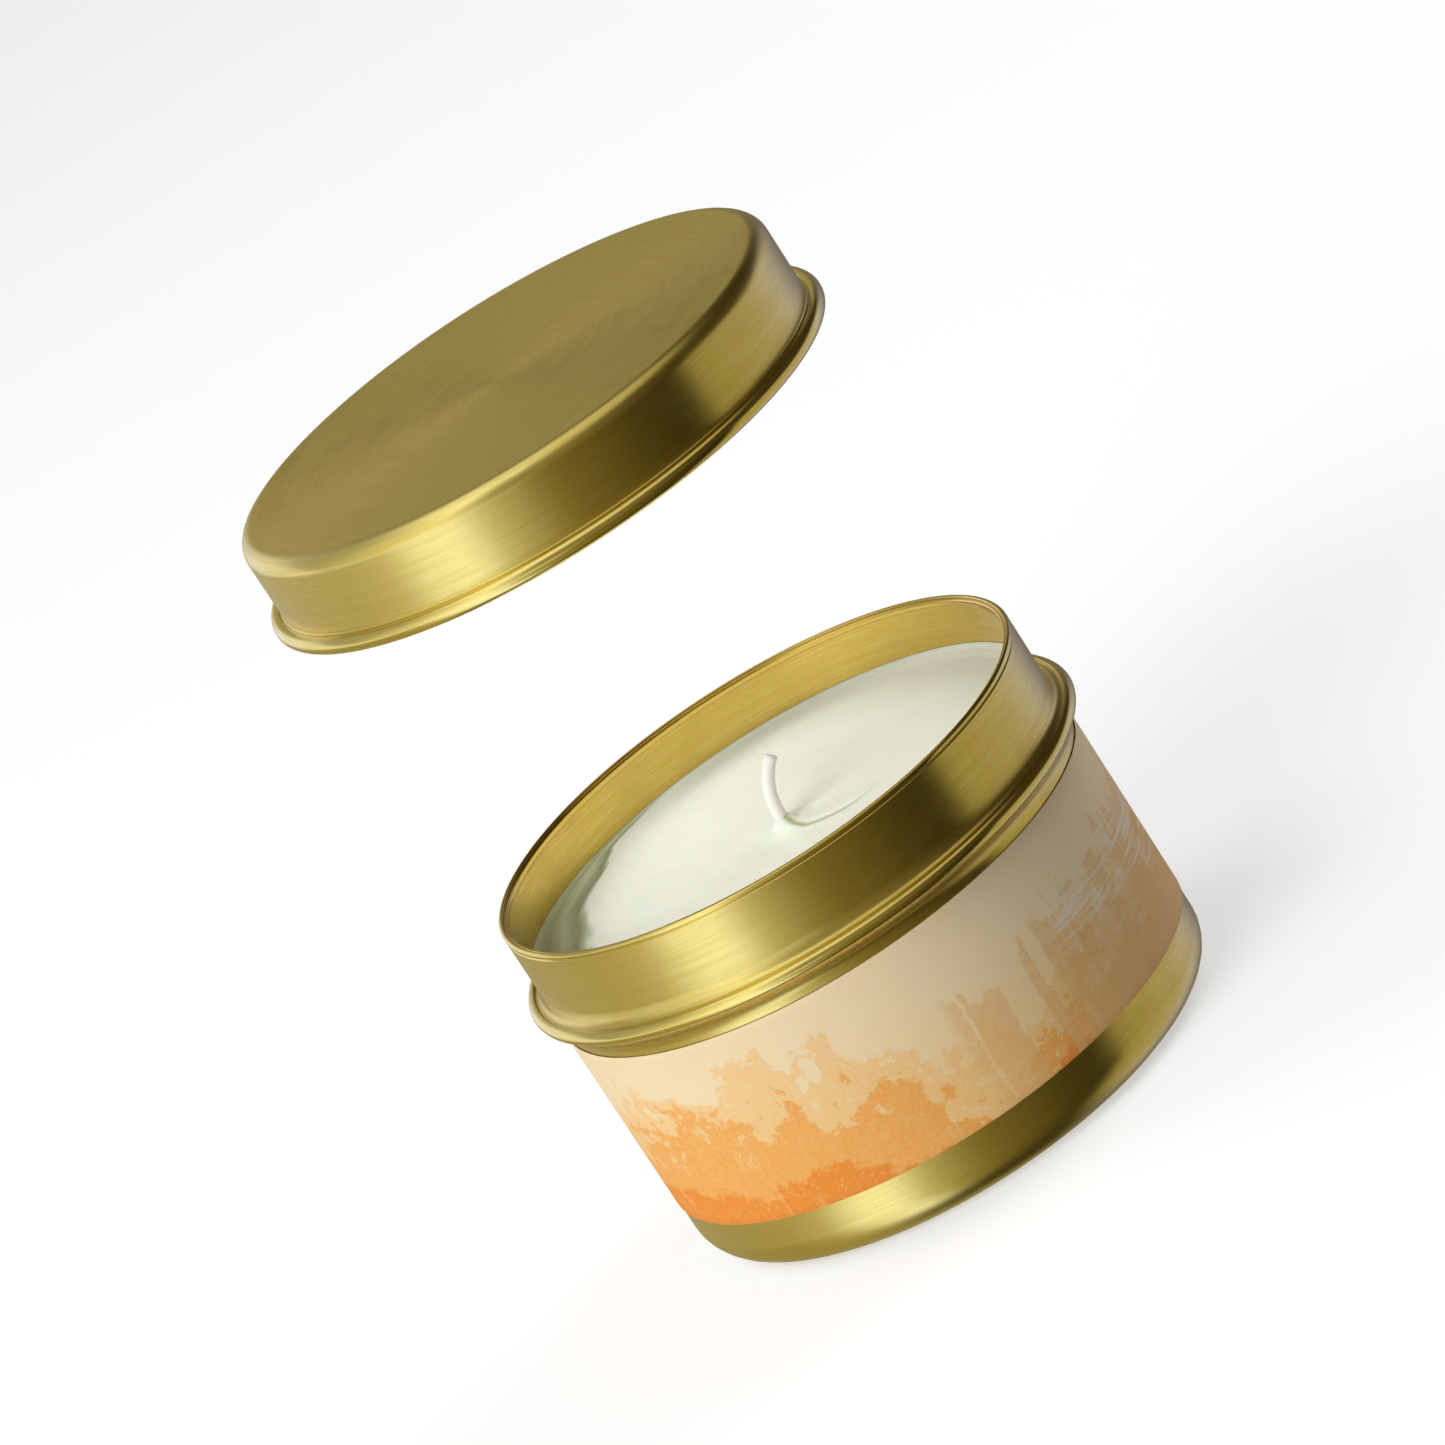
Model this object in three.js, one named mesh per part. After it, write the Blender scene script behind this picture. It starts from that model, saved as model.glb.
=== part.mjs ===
// A candle tin: a drawn tinplate can with a rolled rim, a neck and a bead, a slip lid raised above it,
// a paper label round the wall, and a poured candle with its wick, sustainer and sticker.
// Millimetres, +Z up. The origin is on the tin's axis, at the plane that it stands on. The front is -Y.

import * as THREE from 'three';
import { mergeVertices } from 'three/addons/utils/BufferGeometryUtils.js';

// Can
const TIN_RADIUS = 38.5; // outside of the wall and of the neck, which are drawn to one size
const TIN_HEIGHT = 52.5; // from the ring that it stands on to the top of the rim
const SHEET = 0.3; // tinplate of the can and of the lid
const BASE_CORNER = 5; // outside radius between the wall and the base
const RING_WIDTH = 4; // flat ring that the tin stands on
const PANEL_RISE = 0.8; // how far the middle of the base is raised off the ring
const RIM_ROUND = 0.6; // radius of the rolled rim
const NECK_HEIGHT = 10.75; // from the top of the rim down to the shelf
const SHELF_FILLET = 0.4; // radius where the neck meets the shelf
const SHELF_FALL = THREE.MathUtils.degToRad(11); // the shelf drops towards the bead
const BEAD_REACH = 2.6; // how far the bead stands out from the wall
const BEAD_ROUND = 1; // radius of the bead's edge
const BEAD_TUCK = THREE.MathUtils.degToRad(50); // how far the bead's edge turns under
const WALL_SWEEP = 2; // radius where the underside of the bead runs into the wall

// Lid
const LID_CLEARANCE = 0.35; // radial, from the skirt to the neck
const LID_HEADROOM = 2.1; // from the rim to the underside of the seated lid's top
const LID_CORNER = 2.2; // outside radius round the top
const CURL_FILLET = 0.5; // radius where the skirt meets the curl
const SEAT_GAP = 0.15; // between the seated curl and the shelf
const LID_LIFT = 60; // how far the lid is raised off its seat

// Label
const LABEL_TOP_MARGIN = 0.7; // bare wall between the bead's sweep and the label
const LABEL_FOOT_MARGIN = 4; // bare wall between the label and the corner of the base
const LABEL_PAPER = 0.12; // thickness
const LABEL_GLUE = 0.1; // adhesive between the paper and the wall
const LABEL_SEAM = 1.5; // open stretch between the ends of the label, at the back

// Candle
const WAX_DEPTH = 7.3; // from the rim to the wax, at the wall
const WAX_CLIMB = 0.6; // how far the wax climbs the wall, over WAX_CLIMB_WIDTH
const WAX_CLIMB_WIDTH = 1.6;
const WAX_DIP = 0.7; // how far the wax has sunk between the wall and the wick
const MOUND_RISE = 0.5; // small mound round the wick
const MOUND_RADIUS = 4;
const WAX_GAP = 0.05; // between the wax and the can
const WICK_RADIUS = 0.9;
const WICK_CLEARANCE = 0.3; // round the wick, in the wax
const WICK_TRIM = 1.5; // from the end of the wick to the underside of the seated lid's top
const WICK_LEAN = 3.2; // how far the end of the wick bends over, towards +X
const SUSTAINER_RADIUS = 8;
const SUSTAINER_SHEET = 0.3;
const SUSTAINER_NECK = 5; // height of the crimped neck
const STICKER_RADIUS = 7;
const STICKER_THICKNESS = 0.3;
const STACK_GAP = 0.05; // between the base, the sticker and the sustainer
const FIT_GAP = 0.1; // round the sustainer, and between its neck and the wick

// Fineness
const ROUND_SEGMENTS = 48;
const SMALL_SEGMENTS = 24;
const WICK_STEPS = 26;
const WICK_SIDE_PAIRS = 4;

// Places that more than one piece takes its size from
const beadRadius = TIN_RADIUS + BEAD_REACH;
const shelfHeight = TIN_HEIGHT - NECK_HEIGHT;
const lidBore = TIN_RADIUS + LID_CLEARANCE;
const curlRound = (beadRadius - lidBore) / 2;
const lidInside = NECK_HEIGHT + LID_HEADROOM;
const seatHeight = shelfHeight - (lidBore + curlRound - TIN_RADIUS) * Math.tan(SHELF_FALL) + SEAT_GAP;
const panelTop = PANEL_RISE + SHEET;
const waxTop = TIN_HEIGHT - WAX_DEPTH;
const stickerBottom = panelTop + STACK_GAP;
const sustainerBottom = stickerBottom + STICKER_THICKNESS + STACK_GAP;

const gold = { color: 0xc2a24a, roughness: 0.32, metalness: 1 };
const steel = { color: 0xb4b4b0, roughness: 0.4, metalness: 1 };
const paper = { color: 0xe9a85c, roughness: 0.75, metalness: 0 };
const wax = { color: 0xe9ebdd, roughness: 0.45, metalness: 0 };
const cotton = { color: 0xefece4, roughness: 0.8, metalness: 0 };
const foam = { color: 0xf4f4f0, roughness: 0.9, metalness: 0 };

function point(radius, height) {
  return new THREE.Vector2(radius, height);
}

// Points on an arc about a centre, from one angle to another, in radians.
function arc(centre, radius, from, to, steps) {
  const points = [];
  for (let i = 0; i <= steps; i++) {
    const angle = THREE.MathUtils.lerp(from, to, i / steps);
    points.push(point(centre.x + radius * Math.cos(angle), centre.y + radius * Math.sin(angle)));
  }
  return points;
}

// An open outline moved to its left by a distance, with mitred corners. An end on the axis stays on it.
function offsetLeft(outline, distance) {
  const normals = outline.slice(1).map((end, i) => {
    const along = end.clone().sub(outline[i]).normalize();
    return point(-along.y, along.x);
  });
  return outline.map((place, i) => {
    const before = normals[Math.max(i - 1, 0)];
    const after = normals[Math.min(i, normals.length - 1)];
    const mitre = before.clone().add(after);
    return place.clone().addScaledVector(mitre, (2 * distance) / mitre.lengthSq());
  });
}

// A profile of (radius, height) points turned about the Z axis. The solid lies to the left of its path.
function turned(profile, segments) {
  const onAxis = profile[0].x === 0;
  const path = onAxis ? profile : [...profile, profile[0].clone()];
  return solid(new THREE.LatheGeometry(path, segments).rotateX(Math.PI / 2));
}

// The same surface with its shared vertices merged.
function solid(geometry) {
  geometry.deleteAttribute('normal');
  geometry.deleteAttribute('uv');
  const merged = mergeVertices(geometry, 1e-4);
  merged.computeVertexNormals();
  return merged;
}

function piece(name, geometry, finish) {
  const mesh = new THREE.Mesh(geometry, new THREE.MeshStandardMaterial(finish));
  mesh.name = name;
  return mesh;
}

// Outside of the base, from the axis to the foot of the wall.
function baseOutline() {
  const cornerRadius = TIN_RADIUS - BASE_CORNER;
  const stepRadius = cornerRadius - RING_WIDTH;
  const round = PANEL_RISE / 2;
  return [
    point(0, PANEL_RISE),
    ...arc(point(stepRadius - 2 * round, round), round, Math.PI / 2, 0, 2),
    ...arc(point(stepRadius, round), round, Math.PI, 1.5 * Math.PI, 2).slice(1),
    ...arc(point(cornerRadius, BASE_CORNER), BASE_CORNER, -Math.PI / 2, 0, 5),
  ];
}

// Outside of the bead, from the wall up to the neck: the sweep, the edge, the shelf and its fillet.
function beadOutline() {
  const edge = point(beadRadius - BEAD_ROUND, 0);
  edge.y =
    shelfHeight - (edge.x - TIN_RADIUS) * Math.tan(SHELF_FALL) - BEAD_ROUND / Math.cos(SHELF_FALL);
  const under = arc(edge, BEAD_ROUND, -BEAD_TUCK, 0, 3);
  const turn = Math.PI - BEAD_TUCK;
  const sweepEnd = TIN_RADIUS + WALL_SWEEP * (1 + Math.cos(turn));
  const drop = (under[0].x - sweepEnd) / Math.tan(BEAD_TUCK);
  const sweep = point(TIN_RADIUS + WALL_SWEEP, under[0].y - drop - WALL_SWEEP * Math.sin(turn));
  const fillet = point(TIN_RADIUS + SHELF_FILLET, 0);
  fillet.y = shelfHeight - SHELF_FILLET * Math.tan(SHELF_FALL) + SHELF_FILLET / Math.cos(SHELF_FALL);
  return [
    ...arc(sweep, WALL_SWEEP, Math.PI, turn, 3),
    ...under,
    ...arc(edge, BEAD_ROUND, 0, Math.PI / 2 - SHELF_FALL, 4).slice(1),
    ...arc(fillet, SHELF_FILLET, 1.5 * Math.PI - SHELF_FALL, Math.PI, 2),
  ];
}

// Outside of the can, from the axis to where the rim starts to roll. The bead's outline starts on the wall.
const bead = beadOutline();
const canOutline = [...baseOutline(), ...bead, point(TIN_RADIUS, TIN_HEIGHT - RIM_ROUND)];
const labelBottom = BASE_CORNER + LABEL_FOOT_MARGIN;
const labelTop = bead[0].y - LABEL_TOP_MARGIN;

function tinBody() {
  const centre = point(TIN_RADIUS - RIM_ROUND, TIN_HEIGHT - RIM_ROUND);
  const meet = Math.acos((RIM_ROUND - SHEET) / RIM_ROUND);
  const rim = [
    ...arc(centre, RIM_ROUND, 0, Math.PI, 6).slice(1),
    ...arc(centre, RIM_ROUND, Math.PI, 2 * Math.PI - meet, 3).slice(1),
  ];
  const inside = offsetLeft(canOutline, SHEET).slice(0, -1).reverse();
  return turned([...canOutline, ...rim, ...inside], ROUND_SEGMENTS);
}

// The lid, with the bottom of its curl at height 0.
function lid() {
  const top = lidInside + SHEET;
  const skirt = lidBore + SHEET;
  const round = LID_CORNER - SHEET;
  const curl = point(lidBore + curlRound, curlRound);
  const fillet = point(skirt + CURL_FILLET, 0);
  const reach = curlRound + CURL_FILLET;
  const lean = Math.acos((fillet.x - curl.x) / reach);
  fillet.y = curl.y + reach * Math.sin(lean);
  return turned(
    [
      point(0, lidInside),
      ...arc(point(lidBore - round, lidInside - round), round, Math.PI / 2, 0, 3),
      ...arc(curl, curlRound, Math.PI, 2 * Math.PI, 6),
      ...arc(curl, curlRound, 2 * Math.PI, 2 * Math.PI + lean, 2).slice(1),
      ...arc(fillet, CURL_FILLET, Math.PI + lean, Math.PI, 2).slice(1),
      ...arc(point(skirt - LID_CORNER, top - LID_CORNER), LID_CORNER, 0, Math.PI / 2, 4),
      point(0, top),
    ],
    ROUND_SEGMENTS,
  );
}

function label() {
  const bore = TIN_RADIUS + LABEL_GLUE;
  const halfSeam = LABEL_SEAM / 2 / bore;
  const from = Math.PI / 2 + halfSeam;
  const to = 2.5 * Math.PI - halfSeam;
  const band = new THREE.Shape();
  band.absarc(0, 0, bore + LABEL_PAPER, from, to, false);
  band.absarc(0, 0, bore, to, from, true);
  const shape = {
    depth: labelTop - labelBottom,
    bevelEnabled: false,
    curveSegments: ROUND_SEGMENTS / 2,
  };
  return solid(new THREE.ExtrudeGeometry(band, shape));
}

// The wax fills the can up to its level, round the wick and the sustainer.
function waxFill() {
  const atCan = offsetLeft(canOutline, SHEET + WAX_GAP).filter((p) => p.x > 0 && p.y < waxTop);
  const wall = TIN_RADIUS - SHEET - WAX_GAP;
  const pocket = SUSTAINER_RADIUS + FIT_GAP;
  const bore = WICK_RADIUS + WICK_CLEARANCE;
  const neck = WICK_RADIUS + FIT_GAP + SUSTAINER_SHEET + FIT_GAP;
  const discTop = sustainerBottom + SUSTAINER_SHEET + FIT_GAP;
  const neckTop = sustainerBottom + SUSTAINER_SHEET + SUSTAINER_NECK + FIT_GAP;
  return turned(
    [
      point(pocket, panelTop + WAX_GAP),
      ...atCan,
      point(wall, waxTop),
      point(wall - WAX_CLIMB_WIDTH / 3, waxTop - 0.7 * WAX_CLIMB),
      point(wall - WAX_CLIMB_WIDTH, waxTop - WAX_CLIMB),
      point(wall / 2, waxTop - WAX_CLIMB - WAX_DIP),
      point(MOUND_RADIUS, waxTop - WAX_CLIMB - WAX_DIP),
      point(bore, waxTop - WAX_CLIMB - WAX_DIP + MOUND_RISE),
      point(bore, neckTop),
      point(neck, neckTop),
      point(neck, discTop),
      point(pocket, discTop),
    ],
    ROUND_SEGMENTS,
  );
}

// Straight up from the sustainer to just over the mound, then bent over towards +X.
function wick() {
  const bend = waxTop - WAX_CLIMB - WAX_DIP + MOUND_RISE + WICK_RADIUS;
  const tip = seatHeight + lidInside - WICK_TRIM;
  const rise = tip - bend;
  const route = new THREE.CurvePath();
  route.add(new THREE.LineCurve3(new THREE.Vector3(0, 0, sustainerBottom), new THREE.Vector3(0, 0, bend)));
  route.add(
    new THREE.CubicBezierCurve3(
      new THREE.Vector3(0, 0, bend),
      new THREE.Vector3(0, 0, bend + 0.4 * rise),
      new THREE.Vector3(0.35 * WICK_LEAN, 0, bend + 0.75 * rise),
      new THREE.Vector3(WICK_LEAN, 0, tip),
    ),
  );
  const section = new THREE.Shape().absarc(0, 0, WICK_RADIUS, 0, 2 * Math.PI, false);
  const shape = { extrudePath: route, steps: WICK_STEPS, curveSegments: WICK_SIDE_PAIRS };
  return solid(new THREE.ExtrudeGeometry(section, shape));
}

// A pressed disc with a neck that grips the wick.
function wickSustainer() {
  const bore = WICK_RADIUS + FIT_GAP;
  const neck = bore + SUSTAINER_SHEET;
  return turned(
    [
      point(bore, 0),
      point(SUSTAINER_RADIUS, 0),
      point(SUSTAINER_RADIUS, SUSTAINER_SHEET),
      point(neck, SUSTAINER_SHEET),
      point(neck, SUSTAINER_SHEET + SUSTAINER_NECK),
      point(bore, SUSTAINER_SHEET + SUSTAINER_NECK),
    ],
    SMALL_SEGMENTS,
  );
}

function wickSticker() {
  const disc = new THREE.CylinderGeometry(STICKER_RADIUS, STICKER_RADIUS, STICKER_THICKNESS, SMALL_SEGMENTS);
  disc.rotateX(Math.PI / 2);
  disc.translate(0, 0, STICKER_THICKNESS / 2);
  return solid(disc);
}

const can = new THREE.Group();
const wrapped = piece('label', label(), paper);
wrapped.position.z = labelBottom;
can.add(piece('tin_body', tinBody(), gold), wrapped);

const candle = new THREE.Group();
const sustainer = piece('wick_sustainer', wickSustainer(), steel);
sustainer.position.z = sustainerBottom;
const sticker = piece('wick_sticker', wickSticker(), foam);
sticker.position.z = stickerBottom;
candle.add(piece('wax_fill', waxFill(), wax), piece('wick', wick(), cotton), sustainer, sticker);

const cover = new THREE.Group();
cover.position.z = seatHeight + LID_LIFT;
cover.add(piece('lid', lid(), gold));

const candleTin = new THREE.Group();
candleTin.add(can, candle, cover);

export default candleTin;
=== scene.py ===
"""A candle tin in gold-coloured tinplate: the can, its slip lid, the paper label and the poured candle.

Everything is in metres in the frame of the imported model, with +Z up and the front towards -Y.
"""

import math

import bmesh
import bpy
from bpy.props import FloatProperty, FloatVectorProperty, IntProperty, PointerProperty
from mathutils import Matrix, Vector, noise


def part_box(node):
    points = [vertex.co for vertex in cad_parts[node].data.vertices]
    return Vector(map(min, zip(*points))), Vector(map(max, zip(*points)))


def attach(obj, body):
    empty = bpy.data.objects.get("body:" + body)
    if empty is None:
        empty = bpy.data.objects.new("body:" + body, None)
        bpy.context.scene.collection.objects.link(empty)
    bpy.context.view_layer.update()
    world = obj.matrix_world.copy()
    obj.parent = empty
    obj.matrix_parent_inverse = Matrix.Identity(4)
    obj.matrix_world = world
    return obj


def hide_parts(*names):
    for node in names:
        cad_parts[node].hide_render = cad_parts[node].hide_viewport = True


bl_info = {
    "name": "Candle tin",
    "version": (1, 0, 0),
    "blender": (4, 5, 0),
    "location": "3D View > Sidebar > Candle tin",
    "description": "Builds a candle tin with a slip lid, a paper label and a poured candle",
    "category": "Mesh",
}

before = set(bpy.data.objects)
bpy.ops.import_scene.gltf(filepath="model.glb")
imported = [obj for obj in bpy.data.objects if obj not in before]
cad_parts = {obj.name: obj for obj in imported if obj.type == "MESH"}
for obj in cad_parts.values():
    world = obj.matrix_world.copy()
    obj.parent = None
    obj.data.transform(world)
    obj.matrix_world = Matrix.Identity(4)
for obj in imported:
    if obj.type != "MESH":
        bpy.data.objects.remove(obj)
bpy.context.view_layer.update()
CAN_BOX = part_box("tin_body")
LID_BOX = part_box("lid")
LABEL_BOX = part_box("label")
WAX_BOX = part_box("wax_fill")
WICK_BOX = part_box("wick")

MM = 0.001
MERGE_DISTANCE = 1e-6
DEGREES_PER_STEP = 12  # how far each step of a rounded corner turns
LAMP_DISTANCE = 1.3
LAMP_AIM = Vector((0, 0, 0.05))


# ---------------------------------------------------------------- settings


def length(name, description, default):
    return FloatProperty(
        name=name, description=description, default=default, subtype="DISTANCE", unit="LENGTH", precision=5
    )


def colour(name, description, default):
    return FloatVectorProperty(
        name=name, description=description, default=default, subtype="COLOR", size=3, min=0, max=1
    )


class CandleTinSizes(bpy.types.PropertyGroup):
    """Sizes of the pieces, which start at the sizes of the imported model"""

    turn_steps: IntProperty(
        name="Turn steps", description="Steps in a full turn of a round piece", default=224, min=48, max=512
    )
    wall_radius: length("Wall radius", "Outside of the wall and of the neck", 38.5 * MM)
    tin_height: length("Tin height", "From the standing ring to the top of the rim", CAN_BOX[1].z)
    bead_radius: length("Bead radius", "Outermost reach of the bead", CAN_BOX[1].x)
    shelf_height: length("Shelf height", "Height of the shelf where it meets the neck", 41.75 * MM)
    base_corner: length("Base corner", "Outside radius between the wall and the base", 5 * MM)
    panel_rise: length("Panel rise", "How far the middle of the base stands off the ring", 0.8 * MM)
    sheet: length("Sheet", "Thickness of the tinplate", 0.3 * MM)
    lid_bore: length("Lid bore", "Inside radius of the lid's skirt", 38.85 * MM)
    lid_corner: length("Lid corner", "Outside radius round the top of the lid", 2.2 * MM)
    label_paper: length("Paper", "Thickness of the label", 0.12 * MM)
    label_seam: length("Seam", "Open stretch between the ends of the label", 1.5 * MM)
    wick_radius: length("Wick radius", "Radius of the waxed wick", 0.9 * MM)
    wick_lean: length("Wick lean", "How far the end of the wick bends over", 3.2 * MM)


class CandleTinColours(bpy.types.PropertyGroup):
    """Colours of the finishes"""

    gold: colour("Gold", "Lacquered tinplate", (0.80, 0.655, 0.205))
    gold_deep: colour("Deep gold", "Tinplate between the strokes of the brush", (0.70, 0.545, 0.125))
    # Painted light: a warm tint that stands in for light bounced round inside the can.
    inside_bounce_tint: colour("Inside bounce tint", "Warmer tint over the inside of the can", (1.0, 0.90, 0.80))
    steel: colour("Steel", "Plain tinplate of the sustainer", (0.62, 0.61, 0.58))
    cream: colour("Cream", "Upper part of the label", (0.93, 0.755, 0.48))
    peach: colour("Peach", "Lower part of the label, under the washes", (0.94, 0.66, 0.315))
    wash: colour("Pale wash", "First wash of colour on the label", (0.93, 0.53, 0.165))
    orange: colour("Orange wash", "Second wash of colour on the label", (0.90, 0.385, 0.068))
    deep_orange: colour("Deep orange", "Band along the foot of the label", (0.87, 0.265, 0.026))
    tan: colour("Tan wash", "Washes on the right of the label", (0.83, 0.50, 0.19))
    stroke: colour("Dry strokes", "Pale dry strokes over the washes", (0.90, 0.80, 0.62))
    wax: colour("Wax", "Poured wax", (0.81, 0.83, 0.735))
    # Painted shade along the shallow crease in the wax.
    wax_crease_shade: colour("Wax crease shade", "Shallow crease in the wax", (0.36, 0.38, 0.16))
    wick: colour("Wick", "Waxed cotton", (0.86, 0.85, 0.82))
    foam: colour("Sticker", "Foam of the wick's sticker", (0.90, 0.90, 0.87))
    floor: colour("Floor", "Plain floor", (0.93, 0.93, 0.93))


class CandleTinStudio(bpy.types.PropertyGroup):
    """Camera and lights"""

    elevation: FloatProperty(
        name="Elevation", description="Camera above the horizon", default=math.radians(17.8), subtype="ANGLE"
    )
    roll: FloatProperty(
        name="Roll",
        description="Turn of the camera about its view",
        default=math.radians(-33.07),
        subtype="ANGLE",
    )
    distance: length("Distance", "Camera from the point that it looks at", 1.1559)
    aim_height: length("Aim height", "Height of the point that the camera looks at", 0.0603)
    lens: FloatProperty(name="Lens", description="Focal length in millimetres", default=224.2)
    key_power: FloatProperty(name="Key", description="Power of the key light", default=16.0, unit="POWER")
    back_power: FloatProperty(name="Back", description="Power of each back light", default=5.4, unit="POWER")
    fill: FloatProperty(name="Fill", description="Brightness of the soft surrounding light", default=0.27)


# ---------------------------------------------------------------- meshes


def rounded_line(bm, corners, closed=False):
    """Joins corners of (radius, height, rounding) with edges in the X-Z plane, and rounds each one."""
    verts = [bm.verts.new((radius, 0, height)) for radius, height, _ in corners]
    places = [vert.co.copy() for vert in verts]
    ends = zip(verts, verts[1:] + verts[:1]) if closed else zip(verts, verts[1:])
    for pair in ends:
        bm.edges.new(pair)
    for i, vert in enumerate(verts):
        rounding = corners[i][2]
        if not rounding:
            continue
        before = places[i] - places[i - 1]
        after = places[(i + 1) % len(places)] - places[i]
        turn = before.angle(after)
        bmesh.ops.bevel(
            bm,
            geom=[vert],
            offset=rounding * math.tan(turn / 2),
            offset_type="OFFSET",
            affect="VERTICES",
            segments=max(3, round(math.degrees(turn) / DEGREES_PER_STEP)),
            profile=0.5,
            material=-1,
        )
    bmesh.ops.remove_doubles(bm, verts=bm.verts[:], dist=MERGE_DISTANCE)


def turn_line(bm, steps):
    """Turns every edge about the Z axis into a closed skin that faces outwards."""
    bmesh.ops.spin(
        bm,
        geom=bm.verts[:] + bm.edges[:],
        cent=(0, 0, 0),
        axis=(0, 0, 1),
        dvec=(0, 0, 0),
        angle=2 * math.pi,
        steps=steps,
        use_merge=True,
        use_duplicate=False,
    )
    bmesh.ops.remove_doubles(bm, verts=bm.verts[:], dist=MERGE_DISTANCE)
    bmesh.ops.recalc_face_normals(bm, faces=bm.faces[:])


def finished(bm, name, material, body, replaces):
    """Makes the mesh a smooth piece that rides on its body and stands for its CAD node."""
    for face in bm.faces:
        face.smooth = True
    mesh = bpy.data.meshes.new(name)
    bm.to_mesh(mesh)
    bm.free()
    mesh.materials.append(material)
    piece = bpy.data.objects.new(name, mesh)
    bpy.context.scene.collection.objects.link(piece)
    shading = piece.modifiers.new("Even shading", "WEIGHTED_NORMAL")
    shading.mode = "FACE_AREA"
    shading.weight = 80
    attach(piece, body)
    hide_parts(replaces)
    return piece


# ---------------------------------------------------------------- node helpers


class Graph:
    """Short calls that add nodes to a tree and join their sockets."""

    def __init__(self, tree):
        self.tree = tree

    def add(self, kind, inputs=None, **settings):
        node = self.tree.nodes.new(kind)
        for key, value in settings.items():
            setattr(node, key, value)
        for key, value in (inputs or {}).items():
            self.feed(node.inputs[key], value)
        return node

    def feed(self, socket, value):
        if isinstance(value, bpy.types.NodeSocket):
            self.tree.links.new(value, socket)
        elif socket.type == "RGBA" and len(value) == 3:
            socket.default_value = (*value, 1)
        else:
            socket.default_value = value

    def math(self, operation, *values, clamp=False):
        node = self.add("ShaderNodeMath", dict(enumerate(values)), operation=operation, use_clamp=clamp)
        return node.outputs[0]

    def product(self, first, *others):
        for value in others:
            first = self.math("MULTIPLY", first, value)
        return first

    def smooth(self, value, low, high):
        """0 where value is under low, 1 where it is over high, with a soft step between."""
        inputs = {"Value": value, "From Min": low, "From Max": high}
        return self.add("ShaderNodeMapRange", inputs, interpolation_type="SMOOTHSTEP").outputs[0]

    def mix(self, factor, first, second, blend="MIX"):
        node = self.add("ShaderNodeMix", data_type="RGBA", blend_type=blend)
        self.feed(node.inputs[0], factor)
        self.feed(node.inputs[6], first)
        self.feed(node.inputs[7], second)
        return node.outputs[2]

    def mix_value(self, factor, first, second):
        node = self.add("ShaderNodeMix", data_type="FLOAT")
        self.feed(node.inputs[0], factor)
        self.feed(node.inputs[2], first)
        self.feed(node.inputs[3], second)
        return node.outputs[0]

    def ramp(self, value, stops):
        """A colour ramp over stops of (place, colour or grey)."""
        node = self.add("ShaderNodeValToRGB", {"Fac": value})
        elements = node.color_ramp.elements
        while len(elements) < len(stops):
            elements.new(1)
        for element, (place, shade) in zip(elements, stops):
            element.position = place
            element.color = (*shade, 1) if isinstance(shade, tuple) else (shade, shade, shade, 1)
        return node.outputs[0]

    def noise(self, vector, scale, detail=3, roughness=0.55, distortion=0):
        inputs = {
            "Vector": vector,
            "Scale": scale,
            "Detail": detail,
            "Roughness": roughness,
            "Distortion": distortion,
        }
        return self.add("ShaderNodeTexNoise", inputs).outputs[0]

    def parts(self, vector):
        return self.add("ShaderNodeSeparateXYZ", {0: vector}).outputs

    def vector(self, x, y, z):
        return self.add("ShaderNodeCombineXYZ", {0: x, 1: y, 2: z}).outputs[0]

    def length(self, vector):
        return self.add("ShaderNodeVectorMath", {0: vector}, operation="LENGTH").outputs["Value"]

    def stretch(self, vector, scale):
        return self.add("ShaderNodeVectorMath", {0: vector, 1: scale}, operation="MULTIPLY").outputs[0]

    def group(self, name, **inputs):
        node = self.add("ShaderNodeGroup", node_tree=bpy.data.node_groups[name])
        for key, value in inputs.items():
            self.feed(node.inputs[key], value)
        return node.outputs

    def bump(self, height, strength, distance, normal=None):
        inputs = {"Height": height, "Strength": strength, "Distance": distance}
        if normal:
            inputs["Normal"] = normal
        return self.add("ShaderNodeBump", inputs).outputs[0]


def new_group(name, inputs, outputs):
    """A shader node group with named sockets: its graph, its inputs, and a call that sets its outputs."""
    tree = bpy.data.node_groups.new(name, "ShaderNodeTree")
    for label, default in inputs.items():
        kind = "NodeSocketVector" if default is None else "NodeSocketFloat"
        socket = tree.interface.new_socket(label, in_out="INPUT", socket_type=kind)
        if default is not None:
            socket.default_value = default
    for label in outputs:
        tree.interface.new_socket(label, in_out="OUTPUT", socket_type="NodeSocketFloat")
    graph = Graph(tree)
    source = graph.add("NodeGroupInput")
    result = graph.add("NodeGroupOutput")

    def put(**values):
        for label, value in values.items():
            graph.feed(result.inputs[label], value)

    return graph, source.outputs, put


def new_material(name, **constants):
    """A material with one Principled BSDF whose constant sockets are set here."""
    material = bpy.data.materials.new(name)
    material.use_nodes = True
    graph = Graph(material.node_tree)
    shader = material.node_tree.nodes["Principled BSDF"]
    for label, value in constants.items():
        graph.feed(shader.inputs[label.replace("_", " ")], value)
    place = graph.add("ShaderNodeTexCoord").outputs["Object"]
    return material, graph, shader, place


# ---------------------------------------------------------------- shared effects


def build_around():
    """Turns a place into its angle from the front, in degrees towards +X, and its radius."""
    graph, source, put = new_group("Around the axis", {"Place": None}, ("Angle", "Radius", "Height"))
    x, y, z = graph.parts(source["Place"])
    angle = graph.math("ARCTAN2", x, graph.math("MULTIPLY", y, -1.0))
    radius = graph.length(graph.vector(x, y, 0.0))
    put(Angle=graph.math("DEGREES", angle), Radius=radius, Height=z)


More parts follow.
